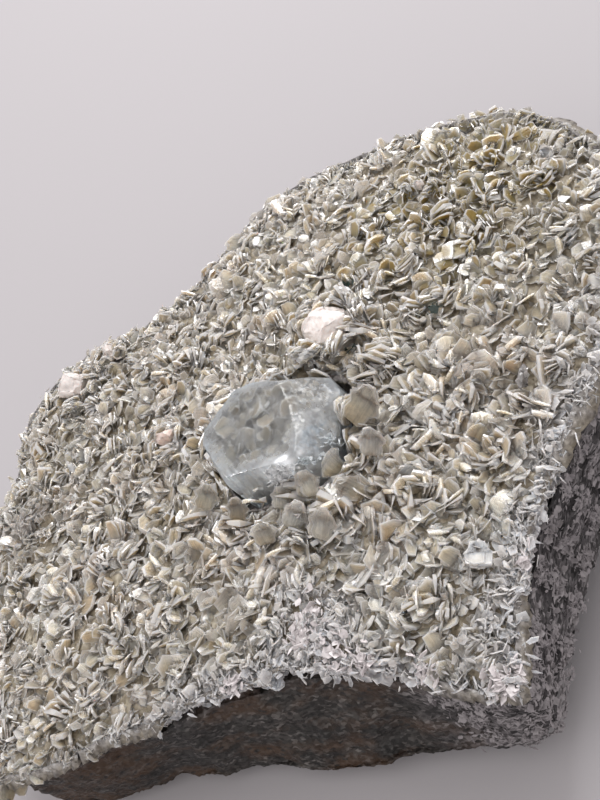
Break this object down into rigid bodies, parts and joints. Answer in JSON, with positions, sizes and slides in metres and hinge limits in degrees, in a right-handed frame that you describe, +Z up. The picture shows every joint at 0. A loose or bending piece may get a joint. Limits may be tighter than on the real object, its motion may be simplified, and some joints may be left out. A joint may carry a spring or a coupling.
{
  "type": "aquamarine crystal on mica and granite matrix",
  "caption": "Short pale-blue aquamarine prism standing in a crust of muscovite mica blades on a broken granite slab, with small feldspar crystals, for display or geology scenes.",
  "frame": {"origin": "centre of the bounding box, on the plane of the flat resting patch under the slab", "axes": "+Z up out of the mica face, +X along the slab's longest side towards its rounded end, +Y towards the swollen back edge, away from the pointed corner"},
  "size_m": [0.1356, 0.1154, 0.0307],
  "materials": {
    "granite": "broken, rough, with dark mica specks and rust stains",
    "mica": "silvery to beige muscovite blades, pearly and glittering",
    "aquamarine": "clear pale blue, etched end face, frosted fracture",
    "feldspar": "milky white to pinkish, waxy",
    "quartz": "grey, glassy, translucent"
  },
  "bodies": {
    "root": {"matrix_rock": "granite", "mica_crust": "mica", "aquamarine_crystal": "aquamarine", "feldspar_large": "feldspar", "feldspar_back_left": "feldspar", "feldspar_back_right": "feldspar", "feldspar_pink": "feldspar", "feldspar_wedge": "feldspar", "feldspar_far": "feldspar", "quartz_grey": "quartz"}
  },
  "joints": []
}
